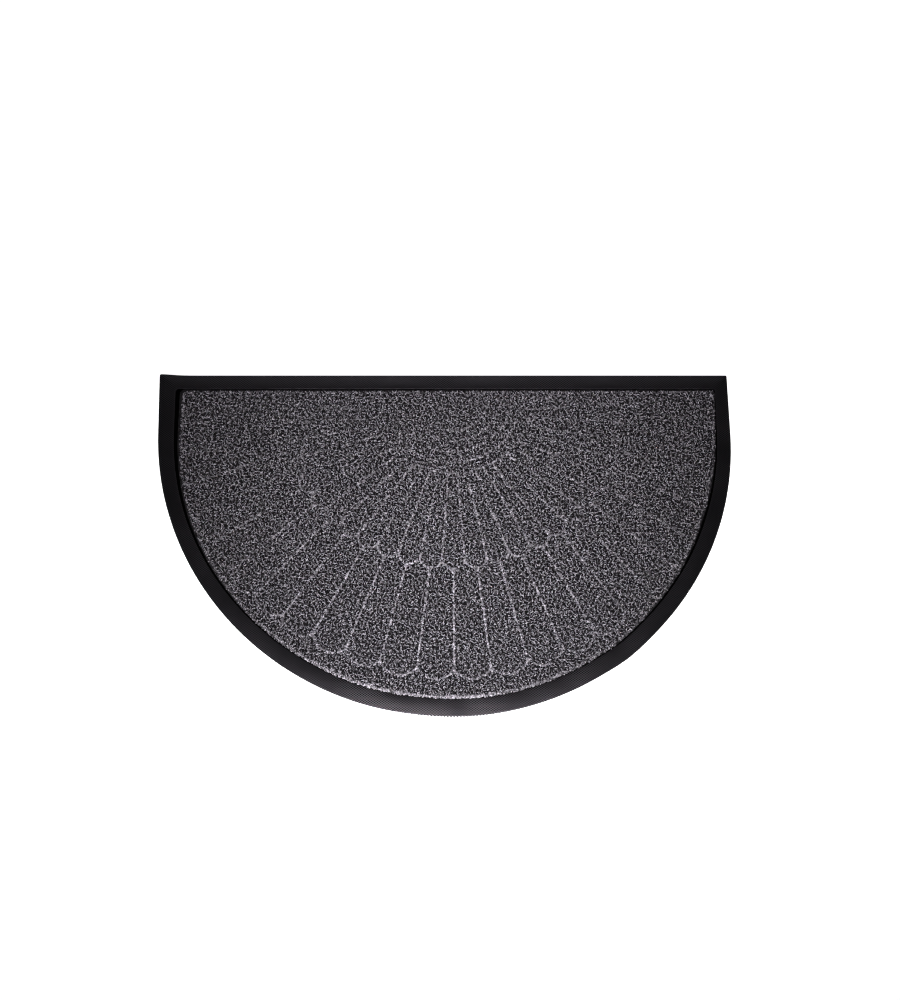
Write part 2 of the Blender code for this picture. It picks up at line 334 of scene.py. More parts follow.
def named_rows(table, columns):
    """The rows of a short table, each value under its column's name."""
    return [dict(zip(columns, row)) for row in table]


def bulge(x, y):
    """How far points of the round end are pushed out, by their place on the end."""
    angle = np.degrees(np.arctan2(y - SPRING_Y, x))
    total = np.zeros_like(x)
    for bump in named_rows(UNEVEN, UNEVEN_COLUMNS):
        total += bump["out"] * np.exp(-(((angle - bump["angle_deg"]) / bump["spread_deg"]) ** 2))
    return total


def settled(points, half, shift):
    """An even outline's points moved to where the uneven mat has them."""
    x, y = points[:, 0], points[:, 1]
    down = FLAT_EDGE_Y - y
    kept = np.clip((y - SHIFT_ENDS_Y) / (FLAT_EDGE_Y - SHIFT_ENDS_Y), 0.0, 1.0)
    corner = np.exp(-(((x + half) / CORNER_RUN) ** 2)) * np.clip(1.0 - down / CORNER_RUN, 0.0, None)
    push = bulge(x, y) / np.maximum(np.hypot(x, down), MM)
    return np.stack(
        [x + push * x + shift * kept + LEAN * down / DEPTH, y - push * down + CORNER_RISE * corner], axis=1
    )


def arc(centre, radii, start_deg, end_deg, steps):
    angles = np.radians(np.linspace(start_deg, end_deg, steps + 1))
    return np.stack([centre[0] + radii[0] * np.cos(angles), centre[1] + radii[1] * np.sin(angles)], axis=1)


def straight(start, end, steps):
    share = np.linspace(0.0, 1.0, steps + 1)[:, None]
    return np.array(start) * (1 - share) + np.array(end) * share


def half_round(insets, more=0.0, step_counts=FINE_STEPS):
    """An outline inside the mat's own, counter-clockwise from the right of the flat edge."""
    edge, steps = dict(zip(INSET_COLUMNS, insets)), dict(zip(STEP_COLUMNS, step_counts))
    half = HALF_WIDTH - (edge["left"] + edge["right"]) / 2 - more
    shift = (edge["left"] - edge["right"]) / 2
    top = FLAT_EDGE_Y - edge["flat"] - more
    left, right = edge["corner_left"], edge["corner_right"]
    stretches = (
        straight((half - right, top), (left - half, top), steps["flat"]),
        arc((left - half, top - left), (left, left), 90, 180, steps["corner"]),
        straight((-half, top - left), (-half, SPRING_Y), steps["side"]),
        arc((0.0, SPRING_Y), (half, ROUND_DEPTH - edge["end"] - more), 180, 360, steps["round"]),
        straight((half, SPRING_Y), (half, top - right), steps["side"]),
        arc((half - right, top - right), (right, right), 0, 90, steps["corner"]),
    )
    even = np.concatenate([stretch[:-1] for stretch in stretches])
    return settled(even, half, shift)


def box_middle(points):
    return (points.min(axis=0) + points.max(axis=0)) / 2


MIDDLE = box_middle(half_round(OUTER_EDGE, 0.0, PART_STEPS))


def placed(insets, more=0.0, step_counts=FINE_STEPS):
    """An outline in the part's frame, with the origin under the middle of the mat's box."""
    return half_round(insets, more, step_counts) - MIDDLE


def outwards(points):
    """The outward normal at each point of a counter-clockwise outline."""
    along = np.roll(points, -1, axis=0) - np.roll(points, 1, axis=0)
    along /= np.linalg.norm(along, axis=1)[:, None]
    return np.stack([along[:, 1], -along[:, 0]], axis=1)


def inside(points, outline):
    """Even-odd test of many points against a closed outline."""
    odd = np.zeros(len(points), bool)
    for a, b in zip(outline, np.roll(outline, -1, axis=0)):
        if a[1] == b[1]:
            continue
        crosses = (a[1] > points[:, 1]) != (b[1] > points[:, 1])
        odd ^= crosses & (points[:, 0] < a[0] + (points[:, 1] - a[1]) * (b[0] - a[0]) / (b[1] - a[1]))
    return odd


def walked(line, spacing):
    """Even steps along an open line: the points and their directions."""
    legs = np.linalg.norm(np.diff(line, axis=0), axis=1)
    run = np.concatenate([[0.0], np.cumsum(legs)])
    count = max(int(run[-1] / spacing), 1)
    at = (np.arange(count) + 0.5) * run[-1] / count
    points = np.stack([np.interp(at, run, line[:, k]) for k in (0, 1)], axis=1)
    ahead = np.stack([np.interp(at + spacing / 4, run, line[:, k]) for k in (0, 1)], axis=1)
    behind = np.stack([np.interp(at - spacing / 4, run, line[:, k]) for k in (0, 1)], axis=1)
    along = ahead - behind
    return points, along / np.maximum(np.linalg.norm(along, axis=1), 1e-9)[:, None]


def fan_point(radius, angle):
    """Points of the fan, with angles from straight down its middle."""
    turned = np.asarray(angle) + FAN_TURN
    x = FAN_X + radius * np.sin(turned)
    y = FLAT_EDGE_Y - FAN_DOWN - radius * np.cos(turned)
    return np.stack([x - MIDDLE[0], y - MIDDLE[1]], axis=-1)


def petal_angle(turns):
    """The angle, from straight down the fan's middle, that a number of petals reaches."""
    even = turns * PETAL_STEP
    return math.atan2(math.sin(even) / FAN_SQUEEZE, math.cos(even))


def scallop(cusp, peak, turns):
    """The circular arc through a petal's two cusps and the peak between them."""
    start, end = fan_point(cusp, petal_angle(turns - 0.5)), fan_point(cusp, petal_angle(turns + 0.5))
    top, chord_middle = fan_point(peak, petal_angle(turns)), (start + end) / 2
    rise = np.linalg.norm(top - chord_middle)
    radius = ((np.linalg.norm(end - start) / 2) ** 2 + rise**2) / (2 * rise)
    centre = top + (chord_middle - top) / rise * radius
    first, last = start - centre, end - centre
    sweep = math.atan2(first[0] * last[1] - first[1] * last[0], first @ last)
    begins = math.atan2(first[1], first[0])
    angles = begins + sweep * np.linspace(0.0, 1.0, SCALLOP_POINTS)
    return centre + radius * np.stack([np.cos(angles), np.sin(angles)], axis=1)


def fan_lines():
    """The centre lines of every pressed groove, as arrays of points."""
    reach = np.linspace(-RING_REACH, RING_REACH, RING_POINTS)
    lines = [fan_point(RING_FIRST + RING_PITCH * ring, reach) for ring in range(RING_COUNT)]
    for n in range(-MOST_TURNS, MOST_TURNS):
        half = n + 0.5
        from_hub = fan_point(HUB_RADIUS, half * HUB_STEP)
        lines.append(np.stack([from_hub, fan_point(INNER_CUSP, petal_angle(half))]))
    for n in range(-MOST_TURNS, MOST_TURNS + 1):
        whole = petal_angle(n)
        lines.append(np.stack([fan_point(INNER_PEAK, whole), fan_point(OUTER_CUSP, whole)]))
        lines.append(scallop(INNER_CUSP, INNER_PEAK, n))
        lines.append(scallop(OUTER_CUSP, OUTER_PEAK, n + 0.5))
    return lines


def fan_reading(points):
    """Each point's radius and angle on the fan."""
    x = points[:, 0] + MIDDLE[0] - FAN_X
    y = FLAT_EDGE_Y - FAN_DOWN - (points[:, 1] + MIDDLE[1])
    return np.hypot(x, y), np.arctan2(x, y) - FAN_TURN


def corners():
    """The points where the fan's lines meet, each of which the press filled out a little."""
    inner = INNER_CUSP + INNER_CORNER
    points = [fan_point(inner, petal_angle(n + 0.5)) for n in range(-MOST_TURNS, MOST_TURNS)]
    for n in range(-MOST_TURNS, MOST_TURNS + 1):
        points.append(fan_point(INNER_PEAK + MIDDLE_CORNER, petal_angle(n)))
        points.append(fan_point(OUTER_CUSP + OUTER_CORNER, petal_angle(n)))
    return np.array(points)


def corner_strokes():
    """Two short strokes beside each corner, along the petals' sides."""
    strokes = []
    for point in corners():
        radius, angle = fan_reading(point[None])
        for aside in (-STROKE_ASIDE, STROKE_ASIDE):
            turned = angle[0] + aside / radius[0]
            start = fan_point(radius[0] - STROKE_HALF, turned)
            strokes.append(np.stack([start, fan_point(radius[0] + STROKE_HALF, turned)]))
    return strokes


def smooth_share(value, low, high):
    share = np.clip((value - low) / (high - low), 0.0, 1.0)
    return share * share * (3 - 2 * share)


def press_and_sheen_share(points):
    """How firmly the fan is pressed at each point, which also sets how strong the painted sheen on its lines
    is: most at the middle of the round end.
    """
    radius, angle = fan_reading(points)
    press = dict(zip(PRESS_AND_SHEEN_COLUMNS, np.array(PRESS_AND_SHEEN).T))
    middle, spread, turned = (np.interp(radius, press["radius"], press[name]) for name in PRESS_AND_SHEEN_COLUMNS[1:])
    aside = np.degrees(angle) - turned
    return middle * np.exp(-((aside / spread) ** 2))


def deselect_everything():
    if bpy.context.object is not None and bpy.context.object.mode != "OBJECT":
        bpy.ops.object.mode_set(mode="OBJECT")
    bpy.ops.object.select_all(action="DESELECT")


def lofted(name, rings):
    """A closed piece through rings of equal length: a filled circle, extruded from ring to ring."""
    deselect_everything()
    bpy.ops.mesh.primitive_circle_add(
        vertices=len(rings[0]), radius=1.0, fill_type="NGON", location=(0, 0, 0)
    )
    piece = bpy.context.object
    piece.name = piece.data.name = name
    bpy.ops.object.mode_set(mode="EDIT")
    bm = bmesh.from_edit_mesh(piece.data)
    place = bm.verts.layers.int.new("place")
    bm.verts.ensure_lookup_table()
    for i, vert in enumerate(bm.verts):
        vert[place] = i
        vert.co = rings[0][i]
    for face in bm.faces:
        face.select = True
    bmesh.update_edit_mesh(piece.data)
    for ring in rings[1:]:
        bpy.ops.mesh.extrude_region_move(TRANSFORM_OT_translate={"value": (0.0, 0.0, 0.0)})
        bm = bmesh.from_edit_mesh(piece.data)
        place = bm.verts.layers.int["place"]
        for vert in bm.verts:
            if vert.select:
                vert.co = ring[vert[place]]
        bmesh.update_edit_mesh(piece.data)
    bm.verts.layers.int.remove(place)
    bmesh.update_edit_mesh(piece.data)
    bpy.ops.mesh.select_all(action="SELECT")
    bpy.ops.mesh.normals_make_consistent(inside=False)
    bpy.ops.object.mode_set(mode="OBJECT")
    return piece


def at_height(points, height):
    return np.column_stack([points, np.full(len(points), height)])


def add_node(tree, kind, inputs=None, **settings):
    """Adds a node with its settings, and gives each input a value or a link."""
    node = tree.nodes.new(kind)
    for name, value in settings.items():
        setattr(node, name, value)
    for name, value in (inputs or {}).items():
        socket = node.inputs[name]
        if isinstance(value, bpy.types.NodeSocket):
            tree.links.new(value, socket)
        else:
            socket.default_value = value
    return node


def new_material(name):
    """A material with its Principled shader, and the shader and tree to build on."""
    material = bpy.data.materials.new(name)
    material.use_nodes = True
    tree = material.node_tree
    return material, tree, tree.nodes["Principled BSDF"]


def link(tree, output, shader, socket):
    tree.links.new(output, shader.inputs[socket])


def moulded_rubber(settings):
    """Black carbon-filled rubber, hot-pressed against a release cloth.

    The eye gets a deep matt black with a wide soft glare, a fine crossed cloth imprint in that
    glare, clearest at the middle of the round end, and a faint grey bloom on the grain that the
    imprint leaves proud. The imprint is as coarse as the photo shows it.
    """
    material, tree, shader = new_material("moulded_rubber_cloth_imprint")
    place = add_node(tree, "ShaderNodeTexCoord")
    axes = add_node(tree, "ShaderNodeSeparateXYZ", {0: place.outputs["Object"]})
    lines = []
    for axis, pitch in enumerate((settings.imprint_across, settings.imprint_down)):
        turns = {0: axes.outputs[axis], 1: 2 * math.pi / pitch}
        scaled = add_node(tree, "ShaderNodeMath", turns, operation="MULTIPLY")
        lines.append(add_node(tree, "ShaderNodeMath", {0: scaled.outputs[0]}, operation="SINE"))
    crossed = add_node(
        tree, "ShaderNodeMath", {0: lines[0].outputs[0], 1: lines[1].outputs[0]}, operation="MULTIPLY"
    )
    patches = add_node(
        tree,
        "ShaderNodeTexNoise",
        {"Vector": place.outputs["Object"], "Scale": 1 / WEAR_PATCH, "Detail": 3.0},
    )
    worn = add_node(
        tree,
        "ShaderNodeMapRange",
        {0: patches.outputs[0], "From Min": 0.40, "From Max": 0.60, "To Min": 0.25, "To Max": 1.0},
    )
    near_end = add_node(
        tree,
        "ShaderNodeMapRange",
        {0: axes.outputs[1], "From Min": IMPRINT_FULL_Y, "From Max": IMPRINT_FAINT_Y}
        | {"To Min": 1.0, "To Max": IMPRINT_FAINT},
    )
    imprint_share = add_node(
        tree, "ShaderNodeMath", {0: worn.outputs[0], 1: near_end.outputs[0]}, operation="MULTIPLY"
    )
    imprint = add_node(
        tree, "ShaderNodeMath", {0: crossed.outputs[0], 1: imprint_share.outputs[0]}, operation="MULTIPLY"
    )
    grain = add_node(
        tree,
        "ShaderNodeTexNoise",
        {"Vector": place.outputs["Object"], "Scale": 1 / RUBBER_GRAIN, "Detail": 2.0},
    )
    both = add_node(
        tree, "ShaderNodeMath", {0: grain.outputs[0], 1: 0.8, 2: imprint.outputs[0]}, operation="MULTIPLY_ADD"
    )
    bump = add_node(
        tree,
        "ShaderNodeBump",
        {"Height": both.outputs[0], "Strength": 1.0, "Distance": settings.imprint_depth},
    )
    haze = add_node(
        tree,
        "ShaderNodeMapRange",
        {0: both.outputs[0], "From Min": 0.0, "From Max": 1.6, "To Min": 0.0, "To Max": 0.75},
    )
    colour = add_node(
        tree, "ShaderNodeMix", {0: haze.outputs[0], 6: settings.rubber, 7: settings.bloom}, data_type="RGBA"
    )
    rough = add_node(
        tree,
        "ShaderNodeMapRange",
        {
            0: patches.outputs[0],
            "From Min": 0.30,
            "From Max": 0.70,
            "To Min": settings.gloss_roughness - 0.05,
            "To Max": settings.gloss_roughness + 0.07,
        },
    )
    recess = add_node(tree, "ShaderNodeAttribute", attribute_name="recess")
    dulled = add_node(
        tree, "ShaderNodeMath", {0: rough.outputs[0], 1: recess.outputs["Fac"]}, operation="MAXIMUM"
    )
    # Painted shade: the recess rings' colour is darkened to near black
    shadowed = add_node(
        tree,
        "ShaderNodeMix",
        {0: recess.outputs["Fac"], 6: colour.outputs[2], 7: linear("030303")},
        data_type="RGBA",
    )
    knots = add_node(
        tree,
        "ShaderNodeMapRange",
        {0: imprint.outputs[0], "From Min": -0.4, "From Max": 0.4, "To Min": 0.0, "To Max": 0.96},
    )
    open_share = add_node(
        tree, "ShaderNodeMath", {0: 1.0, 1: recess.outputs["Fac"]}, operation="SUBTRACT", use_clamp=True
    )
    glare = add_node(
        tree, "ShaderNodeMath", {0: knots.outputs[0], 1: open_share.outputs[0]}, operation="MULTIPLY"
    )
    shader.inputs["IOR"].default_value = 1.52
    shader.inputs["Specular IOR Level"].default_value = 0.48
    shader.inputs["Specular Tint"].default_value = linear("F9F0FF")
    link(tree, glare.outputs[0], shader, "Specular IOR Level")
    link(tree, shadowed.outputs[2], shader, "Base Color")
    link(tree, dulled.outputs[0], shader, "Roughness")
    link(tree, bump.outputs[0], shader, "Normal")
    return material


def needled_felt(settings):
    """Needle-punched polypropylene felt, the ground that the curls stand in.

    The eye gets a dark, broken-up grey in the gaps, with no shine and a tangled fibre grain.
    """
    material, tree, shader = new_material("needled_polypropylene_felt")
    place = add_node(tree, "ShaderNodeTexCoord")
    tangle = add_node(
        tree,
        "ShaderNodeTexNoise",
        {"Vector": place.outputs["Object"], "Scale": 1 / FELT_TANGLE, "Detail": 4.0}
        | {"Roughness": 0.65, "Distortion": 1.2},
    )
    fleck = add_node(
        tree,
        "ShaderNodeMapRange",
        {0: tangle.outputs[0], "From Min": 0.42, "From Max": 0.72, "To Min": 0.0, "To Max": 0.05},
    )
    colour = add_node(
        tree, "ShaderNodeMix", {0: fleck.outputs[0], 6: settings.felt, 7: settings.pale}, data_type="RGBA"
    )
    bump = add_node(
        tree, "ShaderNodeBump", {"Height": tangle.outputs[0], "Strength": 1.0, "Distance": FELT_RELIEF}
    )
    shader.inputs["Roughness"].default_value = 0.95
    shader.inputs["Specular IOR Level"].default_value = 0.02
    link(tree, colour.outputs[2], shader, "Base Color")
    link(tree, bump.outputs[0], shader, "Normal")
    return material


def crimped_fibre(settings):
    """Crimped polypropylene fibre, solution-dyed from black to pale grey and mixed.

    The eye gets salt and pepper: each curl has its own shade, with fine strands along it
    and a soft satin lustre.
    """
    made = bpy.data.materials.get(FIBRE_NAME)
    if made is not None:
        return made
    material, tree, shader = new_material(FIBRE_NAME)
    place = add_node(tree, "ShaderNodeTexCoord")
    shade = add_node(tree, "ShaderNodeAttribute", attribute_name="shade")
    strands = add_node(
        tree,
        "ShaderNodeTexNoise",
        {"Vector": place.outputs["Object"], "Scale": 1 / STRAND, "Detail": 2.0, "Roughness": 0.6},
    )
    streak = add_node(
        tree,
        "ShaderNodeMapRange",
        {0: strands.outputs[0], "From Min": 0.30, "From Max": 0.70, "To Min": 0.70, "To Max": 1.25},
    )
    factor = add_node(
        tree, "ShaderNodeMath", {0: shade.outputs["Fac"], 1: streak.outputs[0]}, operation="MULTIPLY"
    )
    colour = add_node(
        tree, "ShaderNodeMix", {0: factor.outputs[0], 6: settings.dark, 7: settings.pale}, data_type="RGBA"
    )
    bump = add_node(
        tree, "ShaderNodeBump", {"Height": strands.outputs[0], "Strength": 0.6, "Distance": STRAND_RELIEF}
    )
    shader.inputs["Roughness"].default_value = 0.70
    shader.inputs["Specular IOR Level"].default_value = 0.04
    link(tree, colour.outputs[2], shader, "Base Color")
    link(tree, bump.outputs[0], shader, "Normal")
    return material


def white_sweep(settings):
    """A roll of matt white studio paper, so evenly lit that the eye gets plain white."""
    material, _, shader = new_material("matt_white_studio_paper")
    shader.inputs["Base Color"].default_value = settings.floor
    shader.inputs["Roughness"].default_value = 0.9
    shader.inputs["Specular IOR Level"].default_value = 0.1
    shader.inputs["Emission Color"].default_value = settings.floor
    shader.inputs["Emission Strength"].default_value = settings.floor_glow
    return material


def finish_piece(piece, material, angle_deg=None):
    """Gives a piece its material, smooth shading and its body."""
    deselect_everything()
    piece.select_set(True)
    bpy.context.view_layer.objects.active = piece
    if angle_deg is None:
        bpy.ops.object.shade_smooth()
    else:
        bpy.ops.object.shade_smooth_by_angle(angle=math.radians(angle_deg))
    piece.data.materials.clear()
    piece.data.materials.append(material)
    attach(piece, "root")
    return piece


class DOORMAT_OT_rubber_tray(bpy.types.Operator):
    """Models the moulded rubber tray: thin trimmed lip, moulded line, convex border and recess"""

    bl_idname = "doormat.rubber_tray"
    bl_label = "Rubber tray"

    def execute(self, context):
        settings = context.scene.doormat_tray
        outer, recess = placed(OUTER_EDGE), placed(RECESS_EDGE)
        normals = outwards(outer)
        toothed = outer + normals * (self.teeth(outer, settings) * settings.tooth_reach)[:, None]
        rings = []
        for row in named_rows(TRAY_SECTION, TRAY_COLUMNS):
            edge = toothed if row["share"] == 0.0 else outer
            points = edge + (recess - edge) * row["share"] - normals * row["inset"]
            rings.append(at_height(points, row["height"]))
        tray = lofted("rubber_tray", rings)
        # Marks the recess rings for dull roughness and painted shade
        dull_and_shaded = np.zeros(len(tray.data.vertices), np.float32)
        dull_and_shaded[-RECESS_RINGS * len(outer) :] = 1.0
        tray.data.attributes.new("recess", "FLOAT", "POINT").data.foreach_set("value", dull_and_shaded)
        finish_piece(tray, moulded_rubber(settings), 40.0)
        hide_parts("rubber_base")
        return {"FINISHED"}

    def teeth(self, outer, settings):
        """Shares from 0 to 1 along the lip: the trim left fine teeth at the middle of the round end."""
        run = np.cumsum(np.linalg.norm(outer - np.roll(outer, 1, axis=0), axis=1))
        wave = 0.5 - 0.5 * np.cos(2 * math.pi * run / settings.tooth_pitch)
        low = outer[:, 1] < 0.0
        return wave * low * np.exp(-(((outer[:, 0] - TEETH_X) / TEETH_SPREAD) ** 2))


class DOORMAT_OT_pile_ground(bpy.types.Operator):
    """Models the felted ground of the pile from the part's own face, set lower than the curls' tops"""

    bl_idname = "doormat.pile_ground"
    bl_label = "Pile ground"

    def execute(self, context):
        settings = context.scene.doormat_pile
        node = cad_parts["pile_face"]
        low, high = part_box("pile_face")
        ground = bpy.data.objects.new("pile_ground", node.data.copy())
        context.collection.objects.link(ground)
        deselect_everything()
        ground.select_set(True)
        context.view_layer.objects.active = ground
        bpy.ops.object.mode_set(mode="EDIT")
        bpy.ops.mesh.select_all(action="SELECT")
        bpy.ops.mesh.remove_doubles(threshold=0.01 * MM)
        share = (settings.ground - low.z) / (high.z - low.z)
        bpy.ops.transform.resize(value=(1.0, 1.0, share), center_override=(0.0, 0.0, low.z))
        bpy.ops.object.mode_set(mode="OBJECT")
        finish_piece(ground, needled_felt(settings), 40.0)
        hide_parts("pile_face")
        return {"FINISHED"}


def model_curls():
    """One curl of each kind, as vertices and faces in shares of its length, width and height."""
    kinds = []
    for number, bends in enumerate(CURL_KINDS):
        rings = []
        for station, bend in zip(named_rows(CURL_STATIONS, CURL_COLUMNS), bends):
            lean = math.radians(station["lean_deg"])
            across = np.array([0.0, 0.5, 0.0])
            outward = np.array([-math.sin(lean) * CURL_THICK[0], 0.0, math.cos(lean) * CURL_THICK[1]])
            centre = np.array([station["along"], bend * 0.5, station["up"]])
            angles = np.radians(90 + 360 * np.arange(CURL_SIDES) / CURL_SIDES)
            rings.append([centre + across * math.cos(a) + outward * math.sin(a) for a in angles])
        curl = lofted(f"curl_{number}", rings)
        points = np.array([v.co[:] for v in curl.data.vertices])
        faces = [tuple(p.vertices) for p in curl.data.polygons]
        bpy.data.objects.remove(curl, do_unlink=True)
        kinds.append((points, faces))
    return kinds


def curl_faces(points, faces):
    """A curl's faces as triangles and quads with their places on its own small map."""
    ring_of = np.arange(len(points)) // CURL_SIDES
    side_of = np.arange(len(points)) % CURL_SIDES
    maps = []
    for face in faces:
        rings, sides = ring_of[list(face)], side_of[list(face)]
        if len(face) == CURL_SIDES and len(set(rings)) == 1:
            left = CAP_LEFTS[0] if rings[0] == 0 else CAP_LEFTS[1]
            tip = (left + CAP_WIDTH / 2, CAP_HIGH)
            maps.append([(left, CAP_LOW), (left + CAP_WIDTH, CAP_LOW), tip])
            continue
        wraps = set(sides) == {0, CURL_SIDES - 1}
        along = [CURL_SIDES if wraps and s == 0 else s for s in sides]
        stations = len(CURL_STATIONS) - 1
        across = [WRAP_LEFT + WRAP_WIDTH * a / CURL_SIDES for a in along]
        maps.append(list(zip(across, [WRAP_LOW + WRAP_HEIGHT * r / stations for r in rings])))
    return maps


class Curls:
    """Places, turns, sizes and shades of many curls, kept as arrays."""

    def __init__(self, places, turns, sizes, tilts, shades, kinds):
        self.places, self.turns, self.sizes = places, turns, sizes
        self.tilts, self.shades, self.kinds = tilts, shades, kinds

    def only(self, chosen):
        return Curls(*(field[chosen] for field in self.fields()))

    def fields(self):
        return (self.places, self.turns, self.sizes, self.tilts, self.shades, self.kinds)


def joined_curls(name, curls, models):
    """One mesh of many curls, each with its shade and its own cell of the piece's map."""
    cells = math.ceil(math.sqrt(len(curls.places)))
    verts, faces, shades, cell_maps = [], [], [], []
    first = 0
    for kind, (points, kind_faces) in enumerate(models):
        chosen = np.flatnonzero(curls.kinds == kind)
        sized = points[None] * curls.sizes[chosen][:, None, :]
        lean = curls.tilts[chosen][:, None]
        tipped_x = sized[..., 0] * np.cos(lean) + sized[..., 2] * np.sin(lean)
        tipped_z = sized[..., 2] * np.cos(lean) - sized[..., 0] * np.sin(lean)
        turn = curls.turns[chosen][:, None]
        x = tipped_x * np.cos(turn) - sized[..., 1] * np.sin(turn)
        y = tipped_x * np.sin(turn) + sized[..., 1] * np.cos(turn)
        placed_points = np.stack([x, y, tipped_z], axis=-1) + curls.places[chosen][:, None, :]
        verts.append(placed_points.reshape(-1, 3))
        shades.append(np.repeat(curls.shades[chosen], len(points)))
        corner_maps = curl_faces(points, kind_faces)
        for face, corners in zip(kind_faces, corner_maps):
            starts = first + len(points) * np.arange(len(chosen))
            faces.append((starts[:, None] + np.array(face)[None], chosen, np.array(corners)))
        first += len(points) * len(chosen)
    loops = np.concatenate([f.reshape(-1) for f, _, _ in faces])
    totals = np.concatenate([np.full(len(f), f.shape[1]) for f, _, _ in faces])
    for f, chosen, corners in faces:
        column, row = chosen % cells, chosen // cells
        corner = np.stack([column, row], axis=1)[:, None, :] + corners[None]
        cell_maps.append((corner / cells).reshape(-1, 2))
    mesh = bpy.data.meshes.new(name)
    points = np.concatenate(verts)
    mesh.vertices.add(len(points))
    mesh.vertices.foreach_set("co", points.ravel().astype(np.float32))
    mesh.loops.add(len(loops))
    mesh.loops.foreach_set("vertex_index", loops.astype(np.int32))
    mesh.polygons.add(len(totals))
    mesh.polygons.foreach_set("loop_start", np.concatenate([[0], np.cumsum(totals)[:-1]]).astype(np.int32))
    mesh.update(calc_edges=True)
    shade = mesh.attributes.new("shade", "FLOAT", "POINT")
    shade.data.foreach_set("value", np.concatenate(shades).astype(np.float32))
    cell_map = mesh.uv_layers.new(name="OFBake")
    cell_map.data.foreach_set("uv", np.concatenate(cell_maps).ravel().astype(np.float32))
    mesh.validate()
    piece = bpy.data.objects.new(name, mesh)
    bpy.context.collection.objects.link(piece)
    return piece


def point_tree(points):
    """A tree that finds the nearest of many flat points."""
    tree = KDTree(len(points))
    for i, (x, y) in enumerate(points):
        tree.insert((x, y, 0.0), i)
    tree.balance()
    return tree


def groove_tree(lines):
    """A tree of close points on every groove, and how firmly each point is pressed, which also sets its
    painted sheen.
    """
    points = np.concatenate([walked(line, GROOVE_STEP)[0] for line in lines])
    return point_tree(points), press_and_sheen_share(points)


def bell(distance, half_width):
    """A share that falls from 1 to nothing with distance."""
    return np.exp(-((distance / half_width) ** 2))


def drawn_sizes(random, ranges_mm, count):
    """Random lengths, widths and heights of curls, from their ranges."""
    return np.stack([random.uniform(low, high, count) * MM for low, high in ranges_mm], axis=1)


def nearest(tree, points):
    """The distance from each point to the tree's nearest point, and that point's number."""
    found = [tree.find((x, y, 0.0)) for x, y in points]
    return np.array([f[2] for f in found]), np.array([f[1] for f in found])


def shade_of(level):
    """The linear share of the pale fibre that an sRGB level from 0 to 255 stands for."""
    return np.clip(level / 255, 0.0, 1.0) ** 2.2


def dealt(column, row, random):
    """A card from 0 to 3 for each place of a grid, so that each square of four places has all four."""
    squares_across = int(column.max()) // 2 + 1
    squares = squares_across * (int(row.max()) // 2 + 1)
    cards = random.permuted(np.tile(np.arange(4), (squares, 1)), axis=1)
    return cards[(row // 2) * squares_across + column // 2, 2 * (row % 2) + column % 2]


def patches(points, size, seed):
    """Slow changes from place to place, from about 0 to 1."""
    drift = np.array([noise.noise(Vector((x / size, y / size, seed))) for x, y in points])
    return np.clip(0.5 + 0.9 * drift, 0.0, 1.0)


